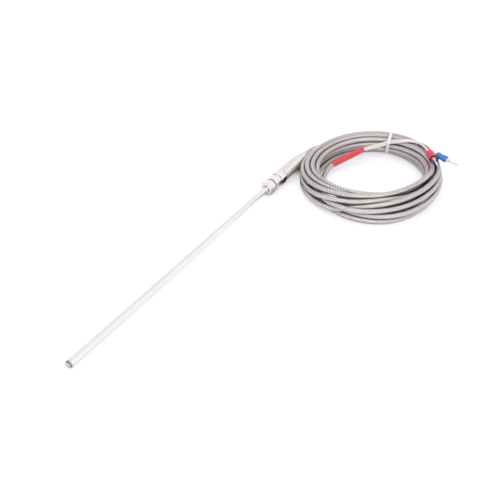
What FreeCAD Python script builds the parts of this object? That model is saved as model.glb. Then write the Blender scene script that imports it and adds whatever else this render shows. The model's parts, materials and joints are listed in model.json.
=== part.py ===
import FreeCAD, Part
import math
import os
from FreeCAD import Placement, Rotation, Vector

# Sheath, closed at the tip by a welded plug
sheath_diameter = 5.0
sheath_wall = 0.5
sheath_length = 200.0
sheath_spigot_diameter = 4.6
sheath_spigot_relief = 0.3
tip_edge_radius = 0.4
tip_plug_thickness = 2.0
tip_plug_recess = 0.3

# Thermocouple legs, their hot junction and their insulators
leg_diameter = 0.6
leg_spacing = 2.0
junction_diameter = 2.8
junction_gap = 0.2
insulator_diameter = 3.6
insulator_count = 4
insulator_gap = 0.1
insulator_bore_clearance = 0.1
seal_length = 7.0

# Fitting body: hex head, round neck and threaded stub
hex_across_flats = 10.0
hex_face_diameter = 9.5
hex_length = 7.0
hex_roll = -24.0
neck_diameter = 8.0
neck_length = 11.0
neck_chamfer = 0.5
stub_diameter = 6.0
stub_length = 5.0
shoulder_length = 2.0
chamfer_angle = 30.0

# Splices between the legs and the cable's cores
splice_diameter = 1.3
splice_length = 5.0
splice_gap = 0.5
splice_sleeve_diameter = 1.8
splice_sleeve_overhang = 0.2

# Ferrule crimped on the cable inside the fitting
ferrule_length = 3.0
ferrule_overhang = 0.7

# Nut that holds the spring on the stub
nut_across_flats = 9.0
nut_face_diameter = 8.6
nut_thread_relief = 0.2
nut_web = 0.6
spring_seat_depth = 1.2

# Tapered strain relief spring
spring_wire = 0.9
spring_pitch = 1.0
spring_start_diameter = 7.4
spring_free_length = 32.0
spring_sections_per_turn = 12
spring_section_sides = 6

# Cable, its oval coil and the tie round the coil
cable_diameter = 4.0
coil_along = 65.4
coil_aside = -60.1
coil_direction = -16.0
coil_long_radius = 52.5
coil_short_radius = 45.9
coil_width = 15.0
coil_height = 15.0
coil_corner = 6.0
tie_position = 27.5
tie_width = 2.2
tie_thickness = 0.8
tie_inner_play = 2.7
tie_outer_play = 0.7
tie_top_play = 1.9
tie_corner = 2.0

# Tail of the cable: shrink sleeve, lead wires and fork terminals
shrink_diameter = 4.8
shrink_lead_in = 3.8
shrink_cable_depth = 4.2
shrink_wire_depth = 5.0
shrink_start = Vector(60.3, -25.6, 5.4)
shrink_end = Vector(90.8, -37.9, 8.8)
wire_diameter = 1.7
wire_spacing = 1.8
wire_in_shrink = 3.7
wire_out_of_shrink = 3.5
terminal_sleeve_diameter = 5.2
terminal_sleeve_length = 9.5
terminal_lead_in = 3.6
terminal_wire_depth = 4.9
barrel_diameter = 3.4
barrel_start = 3.5
barrel_end = 11.0
barrel_end_wall = 1.5
fork_length = 9.5
fork_width = 6.0
fork_neck_length = 1.5
fork_shoulder_length = 2.0
fork_thickness = 0.8
fork_slot_width = 3.2
fork_slot_depth = 6.5
fork_tip_chamfer = 0.8

# Clearances, each on the radius
press_clearance = 0.02
loose_clearance = 0.1

# Routes of the cable and the wires, from the floor under the hex face
lead_first_run = 9.0
lead_bend = [(75.0, -1.6, 6.8), (84.0, -5.6, 7.0), (92.0, -11.7, 7.4), (98.6, -19.2, 7.6), (103.8, -27.6, 7.7)]
tail_bend = [(33.6, -28.9, 5.6), (41.0, -25.6, 5.4), (48.9, -24.1, 5.2)]
red_wire_bend = [(98.7, -47.3, 11.2), (103.5, -51.6, 12.2), (108.9, -54.9, 13.2), (110.8, -60.4, 14.6),
                 (113.1, -65.5, 16.0), (116.6, -70.4, 16.3), (117.8, -75.9, 16.3), (116.4, -81.2, 16.6),
                 (108.3, -88.4, 18.2)]
blue_wire_bend = [(100.5, -45.5, 11.7), (104.6, -50.0, 12.9), (109.9, -53.6, 14.3), (112.3, -59.2, 15.2),
                  (114.8, -64.6, 16.3), (118.2, -69.4, 16.3), (119.8, -75.3, 16.3), (119.2, -80.9, 16.4),
                  (116.0, -87.4, 17.0), (108.1, -93.4, 17.4)]
red_terminal_direction = Vector(-0.768, -0.64, 0.0)
red_terminal_roll = -56.0
blue_terminal_direction = Vector(-0.3, -0.954, 0.0)
blue_terminal_roll = -26.0

# Stations along the probe's axis, counted from the hex face towards the cable
neck_end = hex_length + neck_length
stub_end = neck_end + stub_length
cavity_end = neck_end - shoulder_length
ferrule_start = cavity_end - ferrule_length
cable_end = ferrule_start - ferrule_overhang
splice_end = cable_end - splice_gap
splice_start = splice_end - splice_length
sheath_end = splice_start - splice_gap
splice_middle = (splice_start + splice_end) / 2
nut_end = stub_end + nut_thread_relief + nut_web + spring_seat_depth
spring_start = nut_end - spring_seat_depth
fitting_length = nut_end + spring_free_length
plug_end = -sheath_length + tip_plug_recess + tip_plug_thickness
junction_centre = plug_end + junction_gap + junction_diameter / 2
insulator_start = junction_centre + junction_diameter / 2 + junction_gap
seal_start = sheath_end - seal_length

# Radii that follow from the fits
sheath_radius = sheath_diameter / 2
sheath_bore = sheath_radius - sheath_wall
spigot_radius = sheath_spigot_diameter / 2
cavity_radius = spigot_radius + press_clearance
cable_radius = cable_diameter / 2
cable_bore = cable_radius + loose_clearance
wire_radius = wire_diameter / 2

# The probe lies on its tip and on the front end of the hex's lowest corner
hex_corner = hex_across_flats / 2 / math.cos(math.radians(30))
hex_depth = max(hex_corner * math.sin(math.radians(60 * k + hex_roll)) for k in range(6))
hex_edge = (hex_corner - hex_face_diameter / 2) * math.tan(math.radians(chamfer_angle))
lie_angle = math.atan((hex_depth - sheath_radius) / (sheath_length - tip_edge_radius + hex_edge))
axis_height = hex_depth * math.cos(lie_angle) - hex_edge * math.sin(lie_angle)
origin_shift = Vector((sheath_length - fitting_length) / 2, 0, 0)
lying = Placement(origin_shift + Vector(0, 0, axis_height), Rotation(Vector(0, 1, 0), -math.degrees(lie_angle)))


def turned(profile):
    """A solid turned about the probe's axis from (station, radius) corners."""
    corners = [Vector(station, 0, radius) for station, radius in profile]
    face = Part.Face(Part.makePolygon(corners + corners[:1]))
    return face.revolve(Vector(0, 0, 0), Vector(1, 0, 0), 360)


def rod(radius, start, end, aside=0.0):
    """A round bar along the probe's axis, set aside along Y."""
    return Part.makeCylinder(radius, end - start, Vector(start, aside, 0), Vector(1, 0, 0))


def hex_bar(across_flats, face_diameter, start, end):
    """A hexagonal bar along the axis, turned by the hex roll, with chamfered corners at both ends."""
    corner = across_flats / 2 / math.cos(math.radians(30))
    corners = []
    for k in range(6):
        turn = math.radians(60 * k + hex_roll)
        corners.append(Vector(start, corner * math.cos(turn), corner * math.sin(turn)))
    prism = Part.Face(Part.makePolygon(corners + corners[:1])).extrude(Vector(end - start, 0, 0))
    reach = 1.1 * corner
    chamfer = (reach - face_diameter / 2) * math.tan(math.radians(chamfer_angle))
    envelope = turned([(start, 0), (start, face_diameter / 2), (start + chamfer, reach),
                       (end - chamfer, reach), (end, face_diameter / 2), (end, 0)])
    return prism.common(envelope)


def make_sheath():
    """The sheath's tube, turned down to a spigot where it goes into the fitting."""
    tip = -sheath_length
    tube = rod(sheath_radius, tip, -sheath_spigot_relief)
    rim = [edge for edge in tube.Edges if abs(edge.BoundBox.XMax - tip) < 1e-6]
    tube = tube.makeFillet(tip_edge_radius, rim).fuse(rod(spigot_radius, -sheath_spigot_relief, sheath_end))
    return tube.cut(rod(sheath_bore, tip - 1, sheath_end + 1))


def make_tip_plug():
    return rod(sheath_bore - press_clearance, plug_end - tip_plug_thickness, plug_end)


def make_junction():
    return Part.makeSphere(junction_diameter / 2, Vector(junction_centre, 0, 0))


def make_leg(side):
    leg = rod(leg_diameter / 2, junction_centre, splice_middle - loose_clearance, side * leg_spacing / 2)
    return leg.cut(make_junction())


def make_insulator(index):
    span = (seal_start - insulator_start) / insulator_count
    start = insulator_start + index * span
    bead = rod(insulator_diameter / 2, start, start + span - insulator_gap)
    for side in (-1, 1):
        hole = leg_diameter / 2 + insulator_bore_clearance
        bead = bead.cut(rod(hole, start - 1, start + span, side * leg_spacing / 2))
    return bead


def make_seal():
    seal = rod(sheath_bore - press_clearance, seal_start, sheath_end)
    for side in (-1, 1):
        hole = leg_diameter / 2 + press_clearance
        seal = seal.cut(rod(hole, seal_start - 1, sheath_end + 1, side * leg_spacing / 2))
    return seal


def make_fitting_body():
    neck = neck_diameter / 2
    stub = stub_diameter / 2
    head = hex_bar(hex_across_flats, hex_face_diameter, 0, hex_length)
    shank = turned([(hex_length / 2, 0), (hex_length / 2, neck), (neck_end - neck_chamfer, neck),
                    (neck_end, neck - neck_chamfer), (neck_end, stub),
                    (stub_end - neck_chamfer, stub), (stub_end, stub - neck_chamfer), (stub_end, 0)])
    body = head.fuse(shank).removeSplitter()
    bore = turned([(-1, 0), (-1, cavity_radius), (cavity_end, cavity_radius),
                   (cavity_end, cable_bore), (stub_end + 1, cable_bore), (stub_end + 1, 0)])
    return body.cut(bore)


def make_nut():
    thread = stub_diameter / 2 + press_clearance
    seat = spring_start_diameter / 2 + press_clearance
    thread_end = stub_end + nut_thread_relief
    nut = hex_bar(nut_across_flats, nut_face_diameter, neck_end, nut_end)
    hole = turned([(neck_end - 1, 0), (neck_end - 1, thread), (thread_end, thread), (thread_end, cable_bore),
                   (spring_start, cable_bore), (spring_start, seat), (nut_end + 1, seat), (nut_end + 1, 0)])
    return nut.cut(hole)


def make_spring():
    """A close-wound tapered spring, lofted through polygons that follow a conical helix."""
    wire = spring_wire / 2
    first = spring_start_diameter / 2 - wire
    last = cable_bore + wire
    climb = fitting_length - spring_start - spring_wire
    turns = climb / spring_pitch
    count = round(turns * spring_sections_per_turn)
    sections = []
    for i in range(count + 1):
        share = i / count
        turn = 2 * math.pi * turns * share
        out = Vector(0, math.cos(turn), math.sin(turn))
        middle = Vector(spring_start + wire + climb * share, 0, 0) + out * (first + (last - first) * share)
        corners = []
        for k in range(spring_section_sides):
            lean = 2 * math.pi * (k + 0.5) / spring_section_sides
            corners.append(middle + out * (wire * math.cos(lean)) + Vector(wire * math.sin(lean), 0, 0))
        sections.append(Part.makePolygon(corners + corners[:1]))
    return Part.makeLoft(sections, True, True)


def make_splice(side):
    bore = leg_diameter / 2 + press_clearance
    barrel = rod(splice_diameter / 2, splice_start, splice_end, side * leg_spacing / 2)
    return barrel.cut(rod(bore, splice_start - 1, splice_end + 1, side * leg_spacing / 2))


def make_splice_sleeve(side):
    start = splice_start - splice_sleeve_overhang
    end = splice_end + splice_sleeve_overhang
    sleeve = rod(splice_sleeve_diameter / 2, start, end, side * leg_spacing / 2)
    return sleeve.cut(rod(splice_diameter / 2 + press_clearance, start - 1, end + 1, side * leg_spacing / 2))


def make_core_end(side):
    return rod(leg_diameter / 2, splice_middle + loose_clearance, cable_end, side * leg_spacing / 2)


def make_ferrule():
    ring = rod(cavity_radius - press_clearance, ferrule_start, cavity_end)
    return ring.cut(rod(cable_radius + press_clearance, ferrule_start - 1, cavity_end + 1))


def make_cable_entry():
    return rod(cable_radius, cable_end, fitting_length)


def route_points(numbers):
    return [Vector(*point) + origin_shift for point in numbers]


def axis_point(station):
    return lying.multVec(Vector(station, 0, 0))


def cord(name, points, radius):
    """A tube along straight runs joined by arcs as large as the runs allow."""
    edges = []
    start = points[0]
    radii = []
    for before, corner, after in zip(points, points[1:], points[2:]):
        into = corner - before
        out = after - corner
        turn = into.getAngle(out)
        cut_back = 0.45 * min(into.Length, out.Length)
        bend = cut_back / math.tan(turn / 2)
        radii.append(round(bend, 1))
        into.normalize()
        out.normalize()
        inside = (out - into).normalize()
        arc_start = corner - into * cut_back
        arc_end = corner + out * cut_back
        arc_middle = corner + inside * (bend / math.cos(turn / 2) - bend)
        edges.append(Part.LineSegment(start, arc_start).toShape())
        edges.append(Part.Arc(arc_start, arc_middle, arc_end).toShape())
        start = arc_end
    edges.append(Part.LineSegment(start, points[-1]).toShape())
    path = Part.Wire(edges)
    section = Part.Wire(Part.makeCircle(radius, points[0], points[1] - points[0]))
    tube = path.makePipeShell([section], True, False)
    expected = math.pi * radius ** 2 * path.Length
    print(name, "radii", radii, "length", round(path.Length, 1), "volume share", round(tube.Volume / expected, 4))
    return tube


def rounded_frame(low, high, bottom, top, corner):
    """A rounded rectangle in the plane of the coil's section, as a closed wire."""
    k = corner * (1 - math.sqrt(0.5))

    def at(across, height):
        return Vector(across, 0, height)

    edges = [Part.LineSegment(at(low + corner, bottom), at(high - corner, bottom)),
             Part.Arc(at(high - corner, bottom), at(high - k, bottom + k), at(high, bottom + corner)),
             Part.LineSegment(at(high, bottom + corner), at(high, top - corner)),
             Part.Arc(at(high, top - corner), at(high - k, top - k), at(high - corner, top)),
             Part.LineSegment(at(high - corner, top), at(low + corner, top)),
             Part.Arc(at(low + corner, top), at(low + k, top - k), at(low, top - corner)),
             Part.LineSegment(at(low, top - corner), at(low, bottom + corner)),
             Part.Arc(at(low, bottom + corner), at(low + k, bottom + k), at(low + corner, bottom))]
    return Part.Wire([edge.toShape() for edge in edges])


coil_frame = Placement(Vector(coil_along, coil_aside, 0) + origin_shift, Rotation(Vector(0, 0, 1), coil_direction))


def coil_place(position):
    """A frame on the coil's middle line, with X outwards and Y along the turns."""
    turn = math.radians(position)
    point = Vector(coil_long_radius * math.cos(turn), coil_short_radius * math.sin(turn), 0)
    outward = math.atan2(coil_long_radius * math.sin(turn), coil_short_radius * math.cos(turn))
    return coil_frame.multiply(Placement(point, Rotation(Vector(0, 0, 1), math.degrees(outward))))


def make_tie():
    low = -coil_width / 2 - tie_inner_play
    high = coil_width / 2 + tie_outer_play
    top = coil_height + tie_top_play
    band = tie_thickness
    inner = Part.Face(rounded_frame(low, high, band, top, tie_corner))
    outer = Part.Face(rounded_frame(low - band, high + band, 0, top + band, tie_corner + band))
    loop = outer.cut(inner).extrude(Vector(0, tie_width, 0))
    loop.translate(Vector(0, -tie_width / 2, 0))
    loop.Placement = coil_place(tie_position).multiply(loop.Placement)
    return loop


def make_coil(tie):
    section = rounded_frame(coil_long_radius - coil_width / 2, coil_long_radius + coil_width / 2,
                            0, coil_height, coil_corner)
    middle_line = Part.Wire(Part.Ellipse(Vector(0, 0, 0), coil_long_radius, coil_short_radius).toShape())
    ring = middle_line.makePipeShell([section], True, False)
    ring.Placement = coil_frame
    return ring.cut(tie)


def make_cable_lead(coil):
    exit_point = axis_point(fitting_length)
    points = [exit_point, axis_point(fitting_length + lead_first_run)] + route_points(lead_bend)
    return cord("cable lead", points, cable_radius).cut(coil)


shrink_low = shrink_start + origin_shift
shrink_high = shrink_end + origin_shift
shrink_direction = (shrink_high - shrink_low).normalize()
shrink_aside = Vector(0, 0, 1).cross(shrink_direction).normalize()


def make_cable_tail(coil):
    outside = shrink_low - shrink_direction * shrink_lead_in
    inside = shrink_low + shrink_direction * shrink_cable_depth
    points = route_points(tail_bend) + [outside, inside]
    return cord("cable tail", points, cable_radius).cut(coil)


def make_shrink_sleeve():
    length = (shrink_high - shrink_low).Length
    sleeve = Part.makeCylinder(shrink_diameter / 2, length, shrink_low, shrink_direction)
    cable_hole = Part.makeCylinder(cable_radius + press_clearance, length - shrink_wire_depth,
                                   shrink_low, shrink_direction)
    sleeve = sleeve.cut(cable_hole)
    for side in (-1, 1):
        start = shrink_high - shrink_direction * (shrink_wire_depth + 1) + shrink_aside * (side * wire_spacing / 2)
        hole = Part.makeCylinder(wire_radius + press_clearance, shrink_wire_depth + 2, start, shrink_direction)
        sleeve = sleeve.cut(hole)
    return sleeve


def make_wire(name, side, bend, direction):
    aside = shrink_aside * (side * wire_spacing / 2)
    inside = shrink_high - shrink_direction * wire_in_shrink + aside
    outside = shrink_high + shrink_direction * wire_out_of_shrink + aside
    points = [inside, outside] + route_points(bend)
    points.append(points[-1] + unit(direction) * (terminal_lead_in + terminal_wire_depth))
    return cord(name, points, wire_radius)


def unit(direction):
    return Vector(direction).normalize()


def terminal_place(bend, direction, roll):
    """Where a terminal's mouth sits: past the wire's last bend, turned about its own axis."""
    mouth = route_points(bend)[-1] + unit(direction) * terminal_lead_in
    aim = Rotation(Vector(1, 0, 0), unit(direction))
    return Placement(mouth, aim.multiply(Rotation(Vector(1, 0, 0), roll)))


def make_terminal_sleeve(place):
    bore = barrel_diameter / 2 + press_clearance
    sleeve = rod(terminal_sleeve_diameter / 2, 0, terminal_sleeve_length)
    sleeve = sleeve.cut(rod(bore, -1, terminal_sleeve_length + 1))
    sleeve.Placement = place
    return sleeve


def make_fork(place):
    """A crimped barrel that flattens into a two-pronged tongue."""
    barrel = rod(barrel_diameter / 2, barrel_start, barrel_end)
    bore_end = barrel_end - barrel_end_wall
    barrel = barrel.cut(rod(wire_radius + press_clearance, barrel_start - 1, bore_end))
    neck = barrel_diameter / 2 - loose_clearance
    half = fork_width / 2
    tip = barrel_end + fork_length
    shoulder = barrel_end + fork_neck_length
    side = [(bore_end + barrel_end_wall / 2, neck), (shoulder, neck), (shoulder + fork_shoulder_length, half),
            (tip - fork_tip_chamfer, half), (tip, half - fork_tip_chamfer)]
    outline = side + [(x, -y) for x, y in reversed(side)]
    corners = [Vector(x, y, -fork_thickness / 2) for x, y in outline]
    tongue = Part.Face(Part.makePolygon(corners + corners[:1])).extrude(Vector(0, 0, fork_thickness))
    slot_end = tip - fork_slot_depth + fork_slot_width / 2
    slot = Part.makeBox(fork_slot_depth, fork_slot_width, 2 * fork_thickness,
                        Vector(slot_end, -fork_slot_width / 2, -fork_thickness))
    round_end = Part.makeCylinder(fork_slot_width / 2, 2 * fork_thickness, Vector(slot_end, 0, -fork_thickness))
    fork = barrel.fuse(tongue.cut(slot.fuse(round_end))).removeSplitter()
    fork.Placement = place
    return fork


def build():
    probe = {"sheath_tube": make_sheath(), "tip_plug": make_tip_plug(), "hot_junction": make_junction(),
             "fitting_body": make_fitting_body(), "spring_nut": make_nut(),
             "strain_relief_spring": make_spring(), "sheath_seal": make_seal(),
             "cable_ferrule": make_ferrule(), "cable_entry": make_cable_entry()}
    for index in range(insulator_count):
        probe["ceramic_insulator_%d" % (index + 1)] = make_insulator(index)
    for pole, side in (("positive", 1), ("negative", -1)):
        probe["leg_" + pole] = make_leg(side)
        probe["splice_" + pole] = make_splice(side)
        probe["splice_sleeve_" + pole] = make_splice_sleeve(side)
        probe["core_end_" + pole] = make_core_end(side)
    for shape in probe.values():
        shape.Placement = lying.multiply(shape.Placement)

    tie = make_tie()
    coil = make_coil(tie)
    red_place = terminal_place(red_wire_bend, red_terminal_direction, red_terminal_roll)
    blue_place = terminal_place(blue_wire_bend, blue_terminal_direction, blue_terminal_roll)
    cord_pieces = {"coil_tie": tie, "cable_coil": coil, "cable_lead": make_cable_lead(coil),
                   "cable_tail": make_cable_tail(coil), "shrink_sleeve": make_shrink_sleeve(),
                   "lead_wire_red": make_wire("red wire", -1, red_wire_bend, red_terminal_direction),
                   "lead_wire_blue": make_wire("blue wire", 1, blue_wire_bend, blue_terminal_direction),
                   "terminal_sleeve_red": make_terminal_sleeve(red_place),
                   "terminal_sleeve_blue": make_terminal_sleeve(blue_place),
                   "fork_terminal_red": make_fork(red_place),
                   "fork_terminal_blue": make_fork(blue_place)}
    return {**probe, **cord_pieces}


os.makedirs("parts", exist_ok=True)
for node, shape in build().items():
    shape.exportStep("parts/%s.step" % node)
    print(node, shape.isValid(), len(shape.Solids), round(shape.Volume, 2))
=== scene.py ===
import json
import math

import bpy
import numpy as np
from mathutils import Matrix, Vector

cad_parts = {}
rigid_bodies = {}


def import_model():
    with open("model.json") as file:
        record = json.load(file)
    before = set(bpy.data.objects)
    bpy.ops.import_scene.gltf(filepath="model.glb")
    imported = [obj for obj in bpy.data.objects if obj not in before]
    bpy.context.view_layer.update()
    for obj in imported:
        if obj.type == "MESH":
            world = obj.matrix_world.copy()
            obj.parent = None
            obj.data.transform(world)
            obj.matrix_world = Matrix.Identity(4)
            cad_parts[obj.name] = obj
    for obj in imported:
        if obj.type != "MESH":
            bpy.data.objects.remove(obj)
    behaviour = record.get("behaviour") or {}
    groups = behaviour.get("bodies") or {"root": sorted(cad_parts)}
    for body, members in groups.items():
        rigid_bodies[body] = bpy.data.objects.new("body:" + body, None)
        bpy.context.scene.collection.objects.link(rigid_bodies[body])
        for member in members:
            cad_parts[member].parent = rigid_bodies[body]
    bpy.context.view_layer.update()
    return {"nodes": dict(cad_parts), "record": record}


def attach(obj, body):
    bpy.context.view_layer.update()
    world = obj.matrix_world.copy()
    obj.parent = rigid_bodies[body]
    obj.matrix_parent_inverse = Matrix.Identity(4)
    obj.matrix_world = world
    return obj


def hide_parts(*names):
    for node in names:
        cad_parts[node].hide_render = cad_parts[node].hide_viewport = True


for leftover in list(bpy.data.objects):
    bpy.data.objects.remove(leftover)
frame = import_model()
nodes = frame["nodes"]
scene = bpy.context.scene
scene.view_settings.view_transform = "Standard"

# Sizes shared with the solids, in millimetres from the floor under the hex face
MM = 0.001
ORIGIN = np.array([71.5, 0.0, 0.0])
AXIS_HEIGHT = 5.7316
LIE = math.radians(0.92776)
CABLE = 4.0
WIRE = 1.7
ASIDE = np.array([0.0, 1.0, 0.0])
UP = np.array([0.0, 0.0, 1.0])


def cad(places):
    """Places in millimetres from the hex face, as metres in the frame."""
    return (np.asarray(places, dtype=float) + ORIGIN) * MM


def on_axis(station):
    """The point of the probe's axis at a station from the hex face."""
    return np.array([station * math.cos(LIE), 0.0, AXIS_HEIGHT + station * math.sin(LIE)])


def unit(v):
    v = np.asarray(v, dtype=float)
    return v / np.linalg.norm(v)


def ease(x):
    x = np.clip(x, 0.0, 1.0)
    return x * x * (3 - 2 * x)


# Camera at the photograph's place
lens = bpy.data.cameras.new("camera")
lens.lens = 37.44
lens.sensor_width = 36.0
lens.sensor_fit = "HORIZONTAL"
lens.clip_start = 0.01
camera = bpy.data.objects.new("camera", lens)
camera.location = (-0.2125, -0.1825, 0.2449)
camera.rotation_euler = (math.radians(48.0), 0.0, math.radians(-55.13))
scene.collection.objects.link(camera)
scene.camera = camera


# Mesh helpers
def loft(name, rings, ends="cap", sharp=40.0):
    """A smooth skin over rings of points in millimetres; u runs along it in millimetres, v once around."""
    rings = np.asarray(rings, dtype=float)
    count, sides = rings.shape[:2]
    verts = cad(rings.reshape(-1, 3))
    middle = rings.mean(axis=1)
    if ends == "loop":
        steps = np.linalg.norm(np.roll(middle, -1, axis=0) - middle, axis=1)
    else:
        steps = np.linalg.norm(np.diff(middle, axis=0), axis=1)
    along = np.concatenate([[0.0], np.cumsum(steps)])
    faces, uvs = [], []
    for i in range(count if ends == "loop" else count - 1):
        j = (i + 1) % count
        for a in range(sides):
            b = (a + 1) % sides
            faces.append((i * sides + a, i * sides + b, j * sides + b, j * sides + a))
            va, vb = a / sides, (a + 1) / sides
            uvs += [(along[i], va), (along[i], vb), (along[i + 1], vb), (along[i + 1], va)]
    if ends == "cap":
        faces.append(tuple(range(sides - 1, -1, -1)))
        uvs += [(along[0], a / sides) for a in range(sides - 1, -1, -1)]
        faces.append(tuple((count - 1) * sides + a for a in range(sides)))
        uvs += [(along[-1], a / sides) for a in range(sides)]
    mesh = bpy.data.meshes.new(name)
    mesh.from_pydata(verts.tolist(), [], faces)
    layer = mesh.uv_layers.new(name="UVMap")
    layer.data.foreach_set("uv", np.array(uvs, dtype=np.float32).ravel())
    mesh.polygons.foreach_set("use_smooth", [True] * len(mesh.polygons))
    mesh.update()
    mesh.set_sharp_from_angle(angle=math.radians(sharp))
    made = bpy.data.objects.new(name, mesh)
    scene.collection.objects.link(made)
    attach(made, "root")
    return made


def frames(points):
    """Tangents and two cross directions along points, turned no more than the line itself turns."""
    points = np.asarray(points, dtype=float)
    tangents = np.gradient(points, axis=0)
    tangents /= np.linalg.norm(tangents, axis=1)[:, None]
    side = np.cross(tangents[0], UP)
    sides = []
    for tangent in tangents:
        side = unit(side - tangent * side.dot(tangent))
        sides.append(side)
    sides = np.array(sides)
    return tangents, sides, np.cross(tangents, sides)


def tube(name, points, radius, sides=14, **how):
    """A round tube along points in millimetres."""
    tangents, one, two = frames(points)
    angle = np.arange(sides) * 2 * math.pi / sides
    ring = np.cos(angle)[None, :, None] * one[:, None, :] + np.sin(angle)[None, :, None] * two[:, None, :]
    radius = np.broadcast_to(np.asarray(radius, dtype=float), len(points))
    return loft(name, np.asarray(points)[:, None, :] + ring * radius[:, None, None], **how)


def smooth_route(control, steps):
    """Points along the smooth spline of a route's control points, in millimetres."""
    line = bpy.data.curves.new("route", "CURVE")
    line.dimensions = "3D"
    line.resolution_u = steps
    spline = line.splines.new("NURBS")
    spline.points.add(len(control) - 1)
    for point, place in zip(spline.points, control):
        point.co = (*place, 1.0)
    spline.order_u = 3
    spline.use_endpoint_u = True
    holder = bpy.data.objects.new("route", line)
    scene.collection.objects.link(holder)
    mesh = bpy.data.meshes.new_from_object(holder)
    points = np.array([v.co for v in mesh.vertices])
    bpy.data.objects.remove(holder)
    bpy.data.curves.remove(line)
    bpy.data.meshes.remove(mesh)
    return points


# The coil's oval middle line
COIL_CENTRE = np.array([65.4, -60.1])
COIL_LONG = 52.5
COIL_SHORT = 45.9
COIL_TURN = math.radians(-16.0)
COIL_X = np.array([math.cos(COIL_TURN), math.sin(COIL_TURN)])
COIL_Y = np.array([-math.sin(COIL_TURN), math.cos(COIL_TURN)])
COIL_FRONT = 230.9
TIE_AT = 203.4


def beside_ring(bearing, outward, height):
    """Places beside the oval: bearing in degrees clockwise from its front, distance outward, height."""
    turn = np.radians(COIL_FRONT - np.asarray(bearing, dtype=float))
    middle = np.outer(COIL_LONG * np.cos(turn), COIL_X) + np.outer(COIL_SHORT * np.sin(turn), COIL_Y)
    out = np.outer(COIL_SHORT * np.cos(turn), COIL_X) + np.outer(COIL_LONG * np.sin(turn), COIL_Y)
    out /= np.linalg.norm(out, axis=1)[:, None]
    return np.column_stack([COIL_CENTRE + middle + out * np.asarray(outward)[:, None], height])


# Each turn's lane: distance outward and height at the left, back left, back, back right, right, front right and
# front, and then at the front left on the way to the next lane
LANES = {
    "F": [(7.8, 6.0), (6.4, 6.0), (6.6, 6.1), (8.2, 6.1), (5.4, 5.6), (5.2, 5.9), (7.2, 6.0), (0.4, 6.0)],
    "P": [(1.2, 6.0), (1.4, 5.6), (1.4, 5.4), (1.2, 5.2), (-2.4, 5.6), (-3.8, 5.8), (-5.0, 10.8), (-6.2, 14.6)],
    "D": [(4.2, 13.4), (4.2, 13.8), (5.6, 14.2), (6.4, 14.3), (4.2, 13.2), (-0.8, 13.6), (0.9, 13.2), (4.6, 4.0)],
    "G": [(6.8, 2.4), (6.0, 2.0), (6.0, 2.0), (7.4, 2.0), (5.6, 2.0), (3.9, 2.0), (7.9, 2.0), (0.9, 2.0)],
    "Q": [(0.8, 2.0), (-2.0, 3.8), (-4.2, 5.5), (-4.4, 5.8), (-5.4, 8.2), (-7.4, 7.4), (-8.6, 10.0), (-6.0, 10.6)],
    "B": [(-3.8, 13.2), (-3.9, 12.8), (-3.6, 12.8), (-2.4, 13.2), (0.2, 15.2), (-7.8, 15.0), (-6.9, 15.5),
          (-1.4, 14.8)],
    "E": [(7.4, 11.2), (6.4, 10.8), (6.6, 10.2), (7.8, 10.2), (5.2, 9.4), (2.6, 10.0), (4.1, 9.7), (3.8, 8.0)],
    "A": [(-1.4, 9.6), (-3.6, 8.8), (-5.2, 9.2), (-4.8, 9.5), (-4.2, 12.4), (-8.8, 11.2), (-11.0, 14.0), (-9.6, 13.6)],
    "C": [(0.2, 13.8), (0.2, 13.8), (1.4, 14.0), (2.0, 14.0), (1.0, 10.8), (-3.6, 9.8), (-3.1, 14.6), (3.2, 10.6)],
    "K": [(7.9, 6.4), (5.0, 7.4), (0.8, 9.4), (1.4, 9.2), (1.6, 6.6), (0.2, 6.2), (0.0, 9.4), (-3.4, 5.2)],
    "H": [(-4.4, 2.0), (-5.0, 2.0), (-2.6, 2.0), (-3.2, 2.0), (-3.4, 2.0), (-1.6, 2.0), (-4.6, 2.0), (-4.6, 2.0)],
}
WINDING = "FPDGQBEACKH"
STATION_FROM, STATION_STEP = 90.0, 45.0
TAIL = [(-9.8, 4.0), (-11.8, 5.2)]
STEPS = 36
COIL_START = 145.0
COIL_END = 360.0 * len(WINDING) + 115.0
LEAD_IN = 2.5
LEAD_IN_ARC = 50.0
# Unevenness of the hand-wound turns: size, rate along the bearing, shift from turn to turn
SWAY_OUT = (0.35, 0.37, 2.1)
SWAY_UP = (0.15, 0.53, 1.3)


def sway(bearing, size, rate, shift):
    return size * math.sin(math.radians(bearing) * rate + bearing // 360.0 * shift)


def arc_between(one, other):
    """Degrees between bearings, the short way round."""
    return np.abs((one - other + 180.0) % 360.0 - 180.0)


def wound():
    """The coil's bearings, and the distance outward and height wanted at each, on a smooth curve through the lanes."""
    table = np.array([place for name in WINDING for place in LANES[name]] + TAIL)
    bearings = np.arange(COIL_START, COIL_END + 0.1, 360.0 / STEPS)
    wanted = []
    for bearing in bearings:
        k, f = divmod((bearing - STATION_FROM) / STATION_STEP, 1.0)
        p0, p1, p2, p3 = table[np.clip(np.arange(-1, 3) + int(k), 0, len(table) - 1)]
        place = 0.5 * (2 * p1 + (p2 - p0) * f + (2 * p0 - 5 * p1 + 4 * p2 - p3) * f ** 2
                       + (3 * p1 - p0 - 3 * p2 + p3) * f ** 3)
        place = place + [sway(bearing, *SWAY_OUT), sway(bearing, *SWAY_UP)]
        place[0] += LEAD_IN * (1 - ease((bearing - COIL_START) / LEAD_IN_ARC))
        wanted.append(place)
    return bearings, np.array(wanted)


# How the turns settle: gaps and the lift over the tie in millimetres, arcs in degrees
TURN_GAP = 0.06
TIE_LIFT = 0.85
LIFT_ENDS, LIFT_FADE = 19.2, 12.0
LYING_ARC = 7.5
SETTLING_ROUNDS = 400
# Share of each fault that one round takes away
APART_SHARE = 0.45
CLEAR_SHARE = 0.3
MOVE_SHARE = 0.6
SMOOTH_SHARE = 0.15
LANE_SHARE = 0.03


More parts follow.
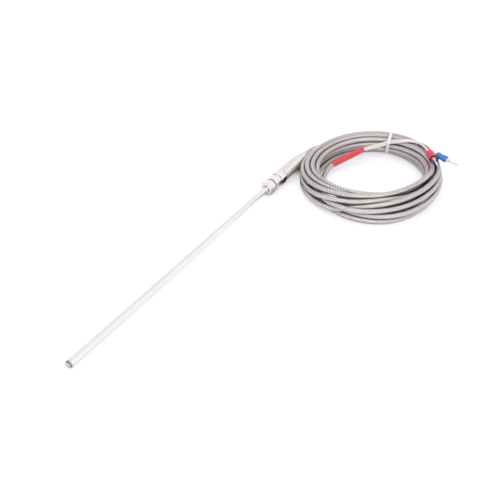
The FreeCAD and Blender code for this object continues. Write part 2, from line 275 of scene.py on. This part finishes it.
def lacking(apart, distance_wanted, share):
    """Moves along the lines between pairs, by a share of what each pair lacks of a distance."""
    distance = np.hypot(apart[:, 0], apart[:, 1])
    lack = np.clip(distance_wanted - distance, 0, None)
    return apart / np.maximum(distance, 1e-3)[:, None] * (share * lack)[:, None]


def settled(bearings, wanted, lying):
    """Turns pushed one diameter apart where they meet, kept smooth and near their lanes, above the floor and the tie
    and clear of what lies on the coil."""
    place = wanted.copy()
    under, over = np.nonzero(arc_between(bearings[:, None], lying[None, :, 0]) < LYING_ARC)
    index = np.arange(len(place))
    floor = CABLE / 2 + TIE_LIFT * ease((LIFT_ENDS - arc_between(bearings, TIE_AT)) / LIFT_FADE)
    for _ in range(SETTLING_ROUNDS):
        move = np.zeros_like(place)
        for lap in range(1, len(WINDING) + 1):
            a, b = index[:-lap * STEPS], index[lap * STEPS:]
            push = lacking(place[b] - place[a], CABLE + TURN_GAP, APART_SHARE)
            np.add.at(move, b, push)
            np.add.at(move, a, -push)
        np.add.at(move, under, lacking(place[under] - lying[over, 1:3], lying[over, 3], CLEAR_SHARE))
        place = place + MOVE_SHARE * move
        even = place.copy()
        even[1:-1] = (place[:-2] + 2 * place[1:-1] + place[2:]) / 4
        place = place + SMOOTH_SHARE * (even - place) + LANE_SHARE * (wanted - place)
        place[:, 1] = np.maximum(place[:, 1], floor)
    return place


# The red sleeve's ends, and how far the cable and the wires reach into it
SHRINK_START = np.array([60.3, -25.6, 5.4])
SHRINK_END = np.array([90.8, -37.9, 8.8])
SHRINK_WAY = unit(SHRINK_END - SHRINK_START)
SHRINK_ASIDE = unit(np.cross(UP, SHRINK_WAY))
CABLE_IN_SLEEVE = 4.2
WIRE_IN_SLEEVE = 3.7

# The two lead wires, from the red sleeve over the coil to their terminals
WIRE_OFFSET = 0.9
WIRE_STRAIGHT = 3.5
WIRE_TO_FORK = 8.5
WIRE_STEPS = 16
TERMINAL_FROM = 3.6
TERMINAL_LENGTH = 9.5
TERMINAL_RADIUS = 2.68
RED_SIZE = 1.16
RED_WAY = unit([-0.768, -0.64, 0.0])
BLUE_WAY = unit([-0.3, -0.954, 0.0])
RED_BENDS = [(98.7, -47.3, 11.2), (103.5, -51.6, 12.2), (108.9, -54.9, 13.2), (110.8, -60.4, 14.6),
             (113.1, -65.5, 16.0), (116.6, -70.4, 16.3), (117.8, -75.9, 16.3), (116.4, -81.2, 16.6),
             (108.3, -88.4, 18.2)]
BLUE_BENDS = [(100.5, -45.5, 11.7), (104.6, -50.0, 12.9), (109.9, -53.6, 14.3), (112.3, -59.2, 15.2),
              (114.8, -64.6, 16.3), (118.2, -69.4, 16.3), (119.8, -75.3, 16.3), (119.2, -80.9, 16.4),
              (116.0, -87.4, 17.0), (108.1, -93.4, 17.4)]


def lead_wire(name, node, aside, bends, way):
    """One lead wire from inside the red sleeve into its terminal."""
    offset = SHRINK_ASIDE * aside
    route = [SHRINK_END - SHRINK_WAY * WIRE_IN_SLEEVE + offset, SHRINK_END + SHRINK_WAY * WIRE_STRAIGHT + offset]
    route += [np.array(p) for p in bends] + [np.array(bends[-1]) + way * WIRE_TO_FORK]
    line = smooth_route(route, WIRE_STEPS)
    made = tube(name, line, WIRE / 2, sides=12)
    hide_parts(node)
    return made, line


red_wire, red_line = lead_wire("wire_red_end", "lead_wire_red", -WIRE_OFFSET, RED_BENDS, RED_WAY)
blue_wire, blue_line = lead_wire("wire_blue_end", "lead_wire_blue", WIRE_OFFSET, BLUE_BENDS, BLUE_WAY)


def over_coil(line, reach):
    """Bearing, distance outward, height and reach of points that lie on the coil."""
    away = line[:, :2] - COIL_CENTRE
    turn = np.arctan2(away @ COIL_Y / COIL_SHORT, away @ COIL_X / COIL_LONG)
    bearing = COIL_FRONT - np.degrees(turn)
    zero = np.zeros(len(line))
    middle = beside_ring(bearing, zero, zero)
    out = beside_ring(bearing, zero + 1.0, zero) - middle
    outward = ((line * [1.0, 1.0, 0.0] - middle) * out).sum(axis=1)
    return np.column_stack([bearing, outward, line[:, 2], zero + reach])


# What lies on the coil: the wires past the red sleeve, every few points, and the two terminals
LYING_GAP = 0.05
TERMINAL_GAP = 0.3
RED_REACH, BLUE_REACH = 3.1, 2.7
FIRST_PAST_SLEEVE, EVERY = 24, 8
lying = [over_coil(line[FIRST_PAST_SLEEVE::EVERY], (CABLE + WIRE) / 2 + LYING_GAP) for line in (red_line, blue_line)]
for bends, way, reach in ((RED_BENDS, RED_WAY, RED_REACH), (BLUE_BENDS, BLUE_WAY, BLUE_REACH)):
    middle = np.array(bends[-1]) + np.outer(TERMINAL_FROM + np.linspace(0.0, TERMINAL_LENGTH, 5), way)
    lying.append(over_coil(middle, CABLE / 2 + reach + TERMINAL_GAP))

# The cable: out of the fitting, through the spring, round the coil under the wires and into the red sleeve
LEAD_ROUTE = [on_axis(12.3), on_axis(57.0), on_axis(66.0), (75.0, -1.6, 6.8)]
CABLE_STEPS = 8
bearings, wanted = wound()
coil_places = settled(bearings, wanted, np.concatenate(lying))
coil_points = beside_ring(bearings, coil_places[:, 0], coil_places[:, 1])
cable_route = LEAD_ROUTE + list(coil_points) + [SHRINK_START, SHRINK_START + SHRINK_WAY * CABLE_IN_SLEEVE]
cable_line = smooth_route(cable_route, CABLE_STEPS)
cable = tube("braided_cable", cable_line, CABLE / 2, sides=14)
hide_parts("cable_entry", "cable_lead", "cable_coil", "cable_tail")


# Red heat shrink sleeve: hugs the cable at one end and flattens over the two wires at the other
def sleeve_rings(start, way, up, stations, wide, high, sides=28):
    """Oval rings along a line; wide and high are half sizes at each station."""
    aside = unit(np.cross(up, way))
    up = unit(np.cross(way, aside))
    angle = np.arange(sides) * 2 * math.pi / sides
    ring = np.cos(angle)[:, None] * aside[None, :], np.sin(angle)[:, None] * up[None, :]
    return [start + way * s + ring[0] * w + ring[1] * h for s, w, h in zip(stations, wide, high)]


SHRINK_RADIUS = 2.4
SHRINK_LATE = 1.4
OVER_WIRES = 2.2
FLAT_FROM, FLAT_OVER = 9.0, 6.0
FLAT_WIDER, FLAT_LOWER = 0.12, 0.35
shrink_length = float(np.linalg.norm(SHRINK_END - SHRINK_START)) + OVER_WIRES
shrink_at = np.concatenate([SHRINK_LATE + np.array([1.2, 0.25, 0.0, 0.0, 0.15, 0.45]),
                            np.linspace(2.3, shrink_length - 0.9, 44),
                            shrink_length - np.array([0.45, 0.15, 0.0, 0.0, 0.3, 1.2])])
swell = SHRINK_RADIUS + 0.04 * np.sin(shrink_at * 0.9) + 0.03 * np.sin(shrink_at * 2.3 + 1.0)
flattened = ease((shrink_at - shrink_length + FLAT_FROM) / FLAT_OVER)
lip = np.ones(len(shrink_at))
lip[:6] = [0.86, 0.86, 0.89, 0.95, 0.99, 1.0]
lip[-6:] = [1.0, 0.98, 0.93, 0.86, 0.78, 0.76]
shrink_wide = (swell + FLAT_WIDER * flattened) * lip
shrink_high = (swell - FLAT_LOWER * flattened) * lip
shrink = loft("red_shrink_sleeve", sleeve_rings(SHRINK_START, SHRINK_WAY, UP, shrink_at, shrink_wide, shrink_high))
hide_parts("shrink_sleeve")


# Vinyl terminal sleeves, with their rolls in degrees
CRIMP_AT, CRIMP_HALF = 5.0, 1.2
CRIMP_WIDER, CRIMP_LOWER = 0.2, 0.4
RED_ROLL, BLUE_ROLL = -56.0, -26.0


def terminal(name, node, bends, way, roll, size=1.0):
    """A sleeve with a funnel mouth for the wire, a crimped waist, turned by roll, and a rounded front."""
    start = np.array(bends[-1]) + way * TERMINAL_FROM
    level = unit(np.cross(UP, way))
    up = unit(np.cross(way, level))
    turn = math.radians(roll)
    up = up * math.cos(turn) - level * math.sin(turn)
    stations = np.concatenate([[2.4, 1.0, 0.3, 0.0, 0.0, 0.2, 0.5, 0.9, 1.4], np.linspace(1.8, 8.9, 28),
                               [9.2, 9.42, TERMINAL_LENGTH, 9.4, 8.6, 6.4]])
    crimp = np.exp(-((stations - CRIMP_AT) / CRIMP_HALF) ** 4)
    lip = np.ones(len(stations))
    lip[:9] = [0.36, 0.40, 0.48, 0.58, 0.68, 0.80, 0.90, 0.96, 0.99]
    lip[-6:] = [0.995, 0.96, 0.90, 0.85, 0.83, 0.81]
    wide = size * (TERMINAL_RADIUS + CRIMP_WIDER * crimp) * lip
    high = size * (TERMINAL_RADIUS - CRIMP_LOWER * crimp) * lip
    made = loft(name, sleeve_rings(start, way, up, stations, wide, high))
    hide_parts(node)
    return made


red_terminal = terminal("vinyl_sleeve_red", "terminal_sleeve_red", RED_BENDS, RED_WAY, RED_ROLL, RED_SIZE)
blue_terminal = terminal("vinyl_sleeve_blue", "terminal_sleeve_blue", BLUE_BENDS, BLUE_WAY, BLUE_ROLL)


# White tie drawn round the turns and the two wires; its section is given as depth and place across
NEAR_TIE = 25.0
TIE_STEPS = 140
TIE_ABOVE_FLOOR = 0.02
TIE_SECTION = ((0.06, -1.25), (0.06, 1.25), (0.22, 1.4), (0.58, 1.4), (0.74, 1.25), (0.74, -1.25), (0.58, -1.4),
               (0.22, -1.4))


def crossing(line, ring_point, along):
    """Where a line crosses the plane through a point of the ring."""
    side = (line - ring_point) @ along
    for i in range(len(line) - 1):
        if side[i] * side[i + 1] <= 0 and np.linalg.norm(line[i] - ring_point) < NEAR_TIE:
            f = side[i] / (side[i] - side[i + 1])
            yield line[i] + (line[i + 1] - line[i]) * f


tie_centre = beside_ring([TIE_AT], [0.0], [0.0])[0]
tie_out = beside_ring([TIE_AT], [1.0], [0.0])[0] - tie_centre
tie_along = unit(np.cross(UP, tie_out))
held = [(p, CABLE / 2) for p in crossing(cable_line, tie_centre, tie_along)]
held += [(p, WIRE / 2) for line in (red_line, blue_line) for p in crossing(line, tie_centre, tie_along)]
held_at = np.array([[(p - tie_centre) @ tie_out, p[2], r] for p, r in held])
tie_rings = []
for angle in np.linspace(0, 2 * math.pi, TIE_STEPS, endpoint=False):
    look = np.array([math.cos(angle), math.sin(angle)])
    outermost = held_at[(held_at[:, :2] @ look + held_at[:, 2]).argmax()]
    ring = []
    for depth, across in TIE_SECTION:
        out, height = outermost[:2] + look * (outermost[2] + depth)
        ring.append(tie_centre + tie_out * out + UP * max(height, TIE_ABOVE_FLOOR) + tie_along * across)
    tie_rings.append(ring)
tie = loft("coil_tie_strip", tie_rings, ends="loop", sharp=50.0)
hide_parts("coil_tie")

# Tapered close-wound spring, one millimetre a turn; radii of the wire's middle at stations along the axis
SPRING_WIRE = 0.9
SPRING_STATIONS = [21.6, 26.0, 44.0, 52.0, 60.0]
SPRING_RADII = [4.85, 4.85, 4.45, 3.7, 2.56]
STEPS_A_TURN = 36
axis_up = unit(np.cross(unit(on_axis(1.0) - on_axis(0.0)), ASIDE))
turns = SPRING_STATIONS[-1] - SPRING_STATIONS[0] - SPRING_WIRE
spring_angle = np.linspace(0, 2 * math.pi * turns, int(turns * STEPS_A_TURN))
spring_station = SPRING_STATIONS[0] + SPRING_WIRE / 2 + spring_angle / (2 * math.pi)
spring_radius = np.interp(spring_station, SPRING_STATIONS, SPRING_RADII)
spring_line = (np.array([on_axis(x) for x in spring_station])
               + np.outer(spring_radius * np.cos(spring_angle), axis_up)
               + np.outer(spring_radius * np.sin(spring_angle), ASIDE))
spring = tube("strain_relief_spring_wire", spring_line, SPRING_WIRE / 2, sides=10)
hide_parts("strain_relief_spring")


def ring_round_axis(station, angle, radius):
    """Points round the probe's axis; the angle starts at the side and turns upward."""
    return on_axis(station) + np.outer(np.cos(angle) * radius, ASIDE) + np.outer(np.sin(angle) * radius, axis_up)


# Hex collar and spring nut, with turned corners
HEX_ROLL = math.radians(-24.0)


def hexed(name, across_flats, stations, caps, sides=72):
    """A hexagonal bar along the axis; caps are the largest radii at its stations."""
    angle = np.arange(sides) * 2 * math.pi / sides
    from_flat = (angle - HEX_ROLL) % (math.pi / 3) - math.pi / 6
    flat = across_flats / 2 / np.cos(from_flat)
    made = loft(name, [ring_round_axis(x, angle, np.minimum(flat, cap)) for x, cap in zip(stations, caps)], sharp=22.0)
    return made


collar = hexed("spring_collar_hex", 9.8, [7.9, 7.9, 8.3, 16.1, 16.2, 16.2], [3.9, 5.1, 5.5, 5.5, 5.3, 3.9])
nut = hexed("spring_nut_hex", 10.5, [15.9, 15.9, 16.5, 21.8, 22.4, 22.4, 21.4],
            [4.4, 5.4, 5.95, 5.95, 5.6, 5.4, 5.35])
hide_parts("spring_nut")


# Weld bead that closes the sheath's tip: a short stem and a dome
TIP = -200.0
BEAD_RADIUS, BEAD_HEIGHT, STEM_RADIUS = 2.1, 1.3, 1.95
dome = np.linspace(0, math.pi / 2, 12)
bead_stations = np.concatenate([[-197.8, -199.6], TIP - BEAD_HEIGHT * np.sin(dome)])
bead_radii = np.concatenate([[STEM_RADIUS, STEM_RADIUS], BEAD_RADIUS * np.cos(dome) + 0.004])
bead_angle = math.pi / 2 - np.linspace(0, 2 * math.pi, 36, endpoint=False)
bead = loft("tip_weld_bead", [ring_round_axis(x, bead_angle, r) for x, r in zip(bead_stations, bead_radii)])
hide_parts("tip_plug")


# Material helpers, for the floor and the world too
def material(name, metallic):
    """A new material, metal or not."""
    made = bpy.data.materials.new(name)
    made.use_nodes = True
    made.node_tree.nodes["Principled BSDF"].inputs["Metallic"].default_value = metallic
    return made


def node(mat, kind, inputs, **settings):
    """A node with its inputs linked or set; gives the node back."""
    made = mat.node_tree.nodes.new(kind)
    for key, value in settings.items():
        setattr(made, key, value)
    for key, value in inputs.items():
        if isinstance(value, bpy.types.NodeSocket):
            mat.node_tree.links.new(value, made.inputs[key])
        else:
            made.inputs[key].default_value = value
    return made


def maths(mat, operation, a, b=0.0):
    return node(mat, "ShaderNodeMath", {0: a, 1: b}, operation=operation).outputs[0]


def place_in(mat, kind, scale):
    """The surface's own coordinates, scaled along each axis."""
    where = node(mat, "ShaderNodeTexCoord", {})
    return node(mat, "ShaderNodeVectorMath", {0: where.outputs[kind], 1: scale}, operation="MULTIPLY").outputs[0]


def noise(mat, where, detail=3.0, scale=1.0):
    return node(mat, "ShaderNodeTexNoise", {"Vector": where, "Scale": scale, "Detail": detail}).outputs["Fac"]


def ramp(mat, factor, *stops):
    made = node(mat, "ShaderNodeValToRGB", {"Fac": factor})
    band = made.color_ramp
    while len(band.elements) < len(stops):
        band.elements.new(0.5)
    for element, (at, colour) in zip(band.elements, stops):
        element.position = at
        element.color = (*colour, 1.0)
    return made.outputs["Color"]


def between(mat, factor, low, high):
    """A number that follows a factor from low to high."""
    return node(mat, "ShaderNodeMapRange", {"Value": factor, "To Min": low, "To Max": high}).outputs["Result"]


def share_of(mat, value, start, end):
    """0 to 1 as a value goes from start to end."""
    return node(mat, "ShaderNodeMapRange", {"Value": value, "From Min": start, "From Max": end}).outputs["Result"]


def mixed(mat, share, one, other):
    """One colour that turns into another by a share."""
    return node(mat, "ShaderNodeMix", {6: one, 7: other, "Factor": share}, data_type="RGBA").outputs[2]


def into(mat, socket, value):
    mat.node_tree.links.new(value, mat.node_tree.nodes["Principled BSDF"].inputs[socket])


def base_colour(mat):
    """What the finish's colour is linked to."""
    return mat.node_tree.nodes["Principled BSDF"].inputs["Base Color"].links[0].from_socket


def bump(mat, height, distance):
    """Relief; distance is in metres."""
    relief = node(mat, "ShaderNodeBump", {"Height": height, "Distance": distance, "Strength": 1.0})
    into(mat, "Normal", relief.outputs[0])


NEAR_TIP_DARK = (0.15, 0.12, 0.11, 1.0)
# Painted shade: the colour that crevices turn towards
CREVICE_SHADE_COLOUR = (0.02, 0.016, 0.015, 1.0)
# Painted dark reflection along outer edges
EDGE_LINE = (0.10, 0.075, 0.065, 1.0)
SHADE_SAMPLES = 8


def darkened_near_tip(mat, end, reach):
    """The finish's colour, darkened towards a tip at an x of the frame; both in metres."""
    along = node(mat, "ShaderNodeSeparateXYZ", {0: node(mat, "ShaderNodeTexCoord", {}).outputs["Object"]}).outputs[0]
    into(mat, "Base Color", mixed(mat, share_of(mat, along, end, end + reach), NEAR_TIP_DARK, base_colour(mat)))


def calmed(mat, colour):
    """The finish with another colour for the light that it throws on its surroundings."""
    thrown = node(mat, "ShaderNodeLightPath", {}).outputs["Is Diffuse Ray"]
    into(mat, "Base Color", mixed(mat, thrown, base_colour(mat), (*colour, 1.0)))


def crevice_shaded(mat, colour, reach, strength):
    """A colour with painted shade that darkens it in crevices; reach is in metres."""
    open_sky = node(mat, "ShaderNodeAmbientOcclusion", {"Distance": reach}, samples=SHADE_SAMPLES).outputs["AO"]
    return mixed(mat, maths(mat, "POWER", open_sky, strength), CREVICE_SHADE_COLOUR, colour)


def edged(mat, colour, reach):
    """A colour with thin dark lines along the outer edges, painted dark reflections; reach is in metres."""
    from_edge = node(mat, "ShaderNodeAmbientOcclusion", {"Distance": reach}, samples=SHADE_SAMPLES, inside=True)
    return mixed(mat, share_of(mat, from_edge.outputs["AO"], 0.55, 0.9), EDGE_LINE, colour)


def wear(name, colour, spread, rough, scale, relief, metallic=0.0, edges=0.0, crevice_shade=None):
    """A finish with mottled colour, uneven gloss, fine relief and, where given, painted shade in crevices and painted
    dark reflections along the edges.
    """
    mat = material(name, metallic)
    where = place_in(mat, "Object", scale)
    broad = noise(mat, where, 4.0)
    fine = noise(mat, where, 2.0, 5.0)
    low = tuple(c * (1 - spread) for c in colour)
    high = tuple(min(c * (1 + spread), 1.0) for c in colour)
    tone = ramp(mat, broad, (0.3, low), (0.7, high))
    tone = crevice_shaded(mat, tone, *crevice_shade) if crevice_shade else tone
    into(mat, "Base Color", edged(mat, tone, edges) if edges else tone)
    into(mat, "Roughness", between(mat, fine, *rough))
    bump(mat, fine, relief)
    return mat


THREADS_A_STRAND = 5
THREAD_HEIGHT = 0.18


def braid(name, low, high, strands, pitch, depth, rough, metallic, size, under=0.9, grain=0.2, crevice_shade=None):
    """A woven cover on a tube: strands each way round it, one strand each pitch along it, in millimetres. The strands
    that pass under are shaded by under, and patches of a size by grain."""
    mat = material(name, metallic)
    where = node(mat, "ShaderNodeTexCoord", {}).outputs["UV"]
    parts = node(mat, "ShaderNodeSeparateXYZ", {0: where})
    along = maths(mat, "DIVIDE", parts.outputs[0], pitch)
    round_it = maths(mat, "MULTIPLY", parts.outputs[1], strands)
    one = maths(mat, "ADD", round_it, along)
    two = maths(mat, "SUBTRACT", round_it, along)
    waves = [maths(mat, "SINE", maths(mat, "MULTIPLY", v, math.pi)) for v in (one, two)]
    over = maths(mat, "GREATER_THAN", maths(mat, "MULTIPLY", waves[0], waves[1]), 0.0)
    tops = []
    for v, wave in zip((one, two), waves):
        threads = maths(mat, "ABSOLUTE", maths(mat, "SINE", maths(mat, "MULTIPLY", v, math.pi * THREADS_A_STRAND)))
        tops.append(maths(mat, "ADD", maths(mat, "ABSOLUTE", wave), maths(mat, "MULTIPLY", threads, THREAD_HEIGHT)))
    height = node(mat, "ShaderNodeMix", {"Factor": over, "A": tops[1], "B": tops[0]}).outputs["Result"]
    patches = noise(mat, place_in(mat, "Object", (size, size, size)), 3.0)
    shade = maths(mat, "MULTIPLY", height, between(mat, patches, 1.0 - 2.4 * grain, 1.0 + 2.0 * grain))
    shade = maths(mat, "MULTIPLY", shade, between(mat, over, under, 1.0))
    middle = tuple((a + b) / 2 for a, b in zip(low, high))
    # Dips between strands take the low colour and the strands of one direction are darkened by under: painted shade in
    # the weave
    woven = ramp(mat, shade, (0.25, low), (0.52, middle), (0.80, high))
    into(mat, "Base Color", crevice_shaded(mat, woven, *crevice_shade) if crevice_shade else woven)
    into(mat, "Roughness", between(mat, patches, *rough))
    bump(mat, height, depth)
    return mat


# Reach in metres and strength of the painted shade in crevices
NICKEL_CREVICE_SHADE = (0.0015, 1.6)
BRAID_CREVICE_SHADE = (0.0024, 0.7)
finishes = {
    "polished_steel": wear("polished steel", (0.94, 0.92, 0.925), 0.03, (0.10, 0.17), (9.0, 1800.0, 1800.0), 0.000002,
                           1.0),
    "weld_steel": wear("welded steel", (0.62, 0.62, 0.63), 0.10, (0.30, 0.50), (900.0, 900.0, 900.0), 0.00003, 1.0),
    "nickel": wear("nickel plate", (0.92, 0.885, 0.865), 0.02, (0.10, 0.16), (500.0, 500.0, 500.0), 0.000002, 1.0,
                   edges=0.0006, crevice_shade=NICKEL_CREVICE_SHADE),
    "worn_nickel": wear("worn nickel plate", (0.92, 0.875, 0.855), 0.03, (0.12, 0.20), (500.0, 500.0, 500.0),
                        0.000002, 1.0, crevice_shade=NICKEL_CREVICE_SHADE),
    "spring_steel": wear("spring steel", (0.91, 0.855, 0.84), 0.05, (0.38, 0.50), (900.0, 900.0, 900.0), 0.000006, 1.0),
    "steel_braid": braid("steel braid", (0.115, 0.099, 0.097), (1.0, 0.945, 0.94), strands=5, pitch=2.4, depth=0.00025,
                         rough=(0.28, 0.42), metallic=1.0, size=900.0, under=0.84, grain=0.3, crevice_shade=BRAID_CREVICE_SHADE),
    "thermo_alloy": wear("thermocouple alloy", (0.55, 0.53, 0.50), 0.10, (0.30, 0.45), (600.0, 3000.0, 3000.0),
                         0.00001, 1.0),
    "alumina": wear("fired alumina", (0.93, 0.91, 0.86), 0.04, (0.45, 0.65), (500.0, 500.0, 500.0), 0.00002),
    "cement": wear("cast cement", (0.80, 0.77, 0.70), 0.10, (0.75, 0.95), (900.0, 900.0, 900.0), 0.00008),
    "glass_sleeve": wear("glass sleeving", (0.88, 0.86, 0.80), 0.08, (0.60, 0.80), (600.0, 3000.0, 3000.0), 0.00004),
    "tie_plastic": wear("white nylon", (0.95, 0.95, 0.94), 0.02, (0.35, 0.50), (600.0, 600.0, 600.0), 0.00002),
    "red_shrink": wear("red heat shrink", (0.86, 0.075, 0.08), 0.10, (0.28, 0.42), (260.0, 260.0, 260.0), 0.00005),
    "wire_cover": braid("woven wire cover", (0.90, 0.82, 0.69), (1.0, 0.98, 0.92), strands=6, pitch=0.9, depth=0.00003,
                        rough=(0.55, 0.75), metallic=0.0, size=500.0),
    "red_vinyl": wear("red vinyl", (0.86, 0.055, 0.11), 0.08, (0.22, 0.34), (420.0, 420.0, 420.0), 0.00003),
    "blue_vinyl": wear("blue vinyl", (0.065, 0.28, 0.76), 0.08, (0.22, 0.34), (420.0, 420.0, 420.0), 0.00003),
    "tinned_copper": wear("tinned copper", (0.80, 0.80, 0.80), 0.06, (0.22, 0.36), (700.0, 700.0, 700.0), 0.00001, 1.0),
}
# The sheath's colour darkens over its last millimetres towards the tip
TIP_AT, TIP_DARK_REACH = -0.1284, 0.0016
PALE_RED = (0.42, 0.32, 0.34)
darkened_near_tip(finishes["polished_steel"], TIP_AT, TIP_DARK_REACH)
calmed(finishes["red_shrink"], PALE_RED)
for subpart in frame["record"]["subparts"]:
    for holder in nodes[subpart["node"]].material_slots:
        holder.material = finishes[subpart["material_slot"]]
for piece, finish in ((cable, "steel_braid"), (red_wire, "wire_cover"), (blue_wire, "wire_cover"),
                      (shrink, "red_shrink"), (red_terminal, "red_vinyl"), (blue_terminal, "blue_vinyl"),
                      (tie, "tie_plastic"), (spring, "spring_steel"), (bead, "weld_steel"), (collar, "worn_nickel"),
                      (nut, "worn_nickel")):
    piece.data.materials.append(finishes[finish])

# Softened edges on the turned and pressed metal
TURNED_EDGE, PRESSED_EDGE = 0.00018, 0.00012
for piece, size in ((nodes["fitting_body"], TURNED_EDGE), (collar, TURNED_EDGE), (nut, TURNED_EDGE),
                    (nodes["fork_terminal_red"], PRESSED_EDGE), (nodes["fork_terminal_blue"], PRESSED_EDGE)):
    edge = piece.modifiers.new("edges", "BEVEL")
    edge.width = size
    edge.segments = 2
    edge.limit_method = "ANGLE"
    edge.angle_limit = math.radians(25.0)
    edge.harden_normals = False

# Floor, which the camera, metal and all else see each in its own tone
floor_mesh = bpy.data.meshes.new("floor")
floor_mesh.from_pydata([(-6, -6, 0), (6, -6, 0), (6, 6, 0), (-6, 6, 0)], [], [(0, 1, 2, 3)])
floor = bpy.data.objects.new("floor", floor_mesh)
scene.collection.objects.link(floor)
floor_finish = bpy.data.materials.new("white floor")
floor_finish.use_nodes = True
floor_finish.node_tree.nodes.clear()
looked_at = node(floor_finish, "ShaderNodeLightPath", {})
on_floor = node(floor_finish, "ShaderNodeNewGeometry", {}).outputs["Position"]


def near(place, inner, outer):
    """1 on the floor around a place, fading to 0; all in metres."""
    away = node(floor_finish, "ShaderNodeVectorMath", {0: on_floor, 1: place}, operation="DISTANCE").outputs["Value"]
    fade = {"Value": away, "From Min": inner, "From Max": outer, "To Min": 1.0, "To Max": 0.0}
    return node(floor_finish, "ShaderNodeMapRange", fade, interpolation_type="SMOOTHSTEP").outputs["Result"]


def shaded(colour, share):
    """A floor colour that turns dark brown by a share, for painted shade."""
    return mixed(floor_finish, share, (*colour, 1.0), (0.055, 0.040, 0.035, 1.0))


# Painted shadow: the deep shade between the spring and the floor beside the coil, darkened on the floor
UNDER_SPRING = (0.1260, 0.0010, 0.0)
SHADE_REACH, SHADE_POWER = 0.012, 1.9
sky = node(floor_finish, "ShaderNodeAmbientOcclusion", {"Distance": SHADE_REACH}, samples=SHADE_SAMPLES).outputs["AO"]
hidden = maths(floor_finish, "SUBTRACT", 1.0, maths(floor_finish, "POWER", sky, SHADE_POWER))
under_spring = maths(floor_finish, "MULTIPLY", hidden, near(UNDER_SPRING, 0.006, 0.021))

# Painted reflection: the dark that nut, collar and hex mirror, seen only by mirrored rays: places on the floor, where
# each is full and where it ends, and its share
MIRRORED_DARK = (
    ((0.1180, -0.0070, 0.0), 0.008, 0.018, 1.0),
    ((0.0990, -0.0075, 0.0), 0.005, 0.014, 1.0),
    ((0.0750, -0.0070, 0.0), 0.004, 0.012, 0.45),
)
mirrored_dark = 0.0
for place, inner, outer, share in MIRRORED_DARK:
    spot = maths(floor_finish, "MULTIPLY", near(place, inner, outer), share)
    mirrored_dark = maths(floor_finish, "MAXIMUM", mirrored_dark, spot)
plain = node(floor_finish, "ShaderNodeBsdfDiffuse", {"Color": (0.95, 0.95, 0.95, 1.0)})
# Mirrored rays see the floor with the painted dark reflection patches; camera rays see it with the painted shadow under
# the spring
white = node(floor_finish, "ShaderNodeBsdfDiffuse", {"Color": shaded((1.04, 1.04, 1.04), mirrored_dark)})
pale = node(floor_finish, "ShaderNodeBsdfDiffuse", {"Color": shaded((0.74, 0.74, 0.74), under_spring)})
lift = node(floor_finish, "ShaderNodeEmission", {"Color": shaded((0.98, 0.97, 1.0), under_spring), "Strength": 0.45})
lifted = node(floor_finish, "ShaderNodeAddShader", {0: pale.outputs[0], 1: lift.outputs[0]})
in_metal = node(floor_finish, "ShaderNodeMixShader",
                {0: looked_at.outputs["Is Glossy Ray"], 1: plain.outputs[0], 2: white.outputs[0]})
floor_mix = node(floor_finish, "ShaderNodeMixShader",
                 {0: looked_at.outputs["Is Camera Ray"], 1: in_metal.outputs[0], 2: lifted.outputs[0]})
node(floor_finish, "ShaderNodeOutputMaterial", {"Surface": floor_mix.outputs[0]})
floor_mesh.materials.append(floor_finish)

# World: an even light, a graded sky for metal to mirror, and white behind the part
world = bpy.data.worlds.new("studio")
world.use_nodes = True
scene.world = world
world.node_tree.nodes.clear()
seen = node(world, "ShaderNodeLightPath", {})
direction = node(world, "ShaderNodeTexCoord", {}).outputs["Generated"]
axes = node(world, "ShaderNodeSeparateXYZ", {0: direction}).outputs
above = maths(world, "MAXIMUM", axes[2], 0.01)
over_probe = share_of(world, maths(world, "ARCTAN2", axes[1], above), -0.8, 1.6)
room = ramp(world, over_probe, (0.10, (1.0, 0.99, 0.98)), (0.24, (0.91, 0.895, 0.90)), (0.45, (0.85, 0.83, 0.835)),
            (0.71, (0.92, 0.905, 0.91)), (0.94, (1.0, 0.99, 0.99)))
mirrored = maths(world, "MAXIMUM", seen.outputs["Is Glossy Ray"], seen.outputs["Is Transmission Ray"])
ambient = node(world, "ShaderNodeBackground", {"Color": (0.90, 0.88, 1.0, 1.0), "Strength": 0.76})
reflected = node(world, "ShaderNodeBackground", {"Color": room, "Strength": 1.0})
backdrop = node(world, "ShaderNodeBackground", {"Color": (1.0, 1.0, 1.0, 1.0), "Strength": 1.0})
for_metal = node(world, "ShaderNodeMixShader", {0: mirrored, 1: ambient.outputs[0], 2: reflected.outputs[0]})
for_eye = node(world, "ShaderNodeMixShader",
               {0: seen.outputs["Is Camera Ray"], 1: for_metal.outputs[0], 2: backdrop.outputs[0]})
node(world, "ShaderNodeOutputWorld", {"Surface": for_eye.outputs[0]})

# Two soft suns; metal mirrors only the fill
WARM = (1.0, 0.97, 0.91)
for name, energy, spread, toward in (("key", 0.62, 40.0, (-0.30, -0.45, -0.80)),
                                     ("fill", 0.55, 60.0, (0.45, 0.50, -0.75))):
    lamp = bpy.data.lights.new(name, "SUN")
    lamp.energy = energy
    lamp.angle = math.radians(spread)
    lamp.color = WARM
    sun = bpy.data.objects.new(name, lamp)
    sun.rotation_euler = Vector(toward).to_track_quat("-Z", "Y").to_euler()
    sun.visible_glossy = name == "fill"
    scene.collection.objects.link(sun)
